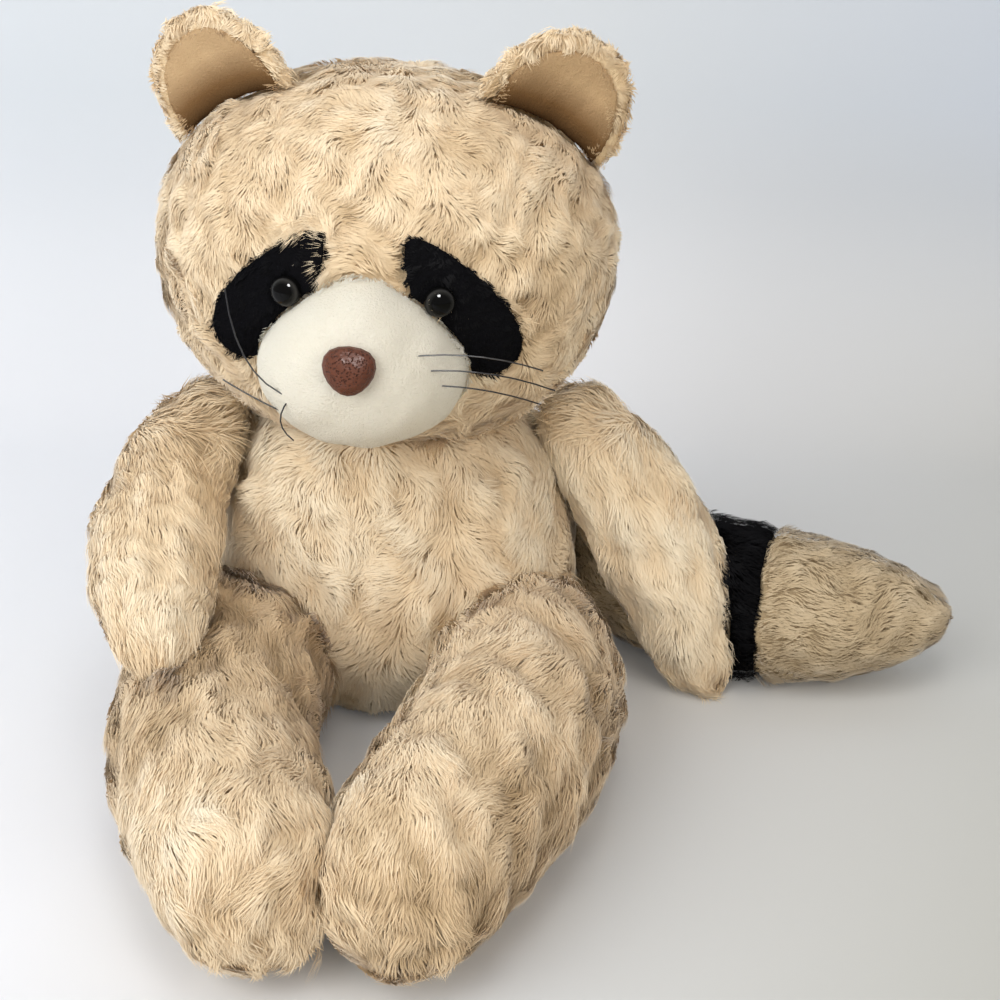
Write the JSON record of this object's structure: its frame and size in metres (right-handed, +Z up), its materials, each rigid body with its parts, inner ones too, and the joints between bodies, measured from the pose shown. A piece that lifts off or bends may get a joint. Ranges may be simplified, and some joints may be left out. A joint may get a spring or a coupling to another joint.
{
  "type": "plush raccoon",
  "caption": "Seated long-pile plush toy raccoon with black eye patches, round cupped ears, a white muzzle and a banded tail.",
  "frame": {"origin": "centre of the bounding box at the floor that the toy sits on", "axes": "+Z up, the toy faces -Y and its own left side is at +X"},
  "size_m": [0.4294, 0.4, 0.3496],
  "materials": {
    "cream_plush": "long, soft, wavy cream pile on a knitted back",
    "tan_short_pile": "short, dense tan pile",
    "tan_tail_plush": "combed tan pile of middling length",
    "white_short_pile": "sheared off-white pile",
    "black_plush": "short black pile",
    "brown_leatherette": "copper-brown, pitted leather grain",
    "dark_glass": "clear glossy dome over a dark iris",
    "white_nylon": "plain moulded nylon",
    "black_nylon": "smooth monofilament"
  },
  "bodies": {
    "root": {"torso": "cream_plush", "head": "cream_plush", "muzzle": "white_short_pile", "eye_left": "dark_glass", "eye_right": "dark_glass", "eye_washer_left": "white_nylon", "eye_washer_right": "white_nylon", "nose": "brown_leatherette", "nose_washer": "white_nylon", "eye_patch_left": "black_plush", "eye_patch_right": "black_plush", "ear_left": "cream_plush", "ear_right": "cream_plush", "ear_lining_left": "tan_short_pile", "ear_lining_right": "tan_short_pile", "leg_left": "cream_plush", "leg_right": "cream_plush", "arm_left": "cream_plush", "arm_right": "cream_plush", "tail_base": "tan_tail_plush", "tail_band": "black_plush", "tail_tip": "tan_tail_plush", "whisker_left_1": "black_nylon", "whisker_left_2": "black_nylon", "whisker_left_3": "black_nylon", "whisker_right_1": "black_nylon", "whisker_right_2": "black_nylon", "whisker_right_3": "black_nylon"}
  },
  "joints": []
}
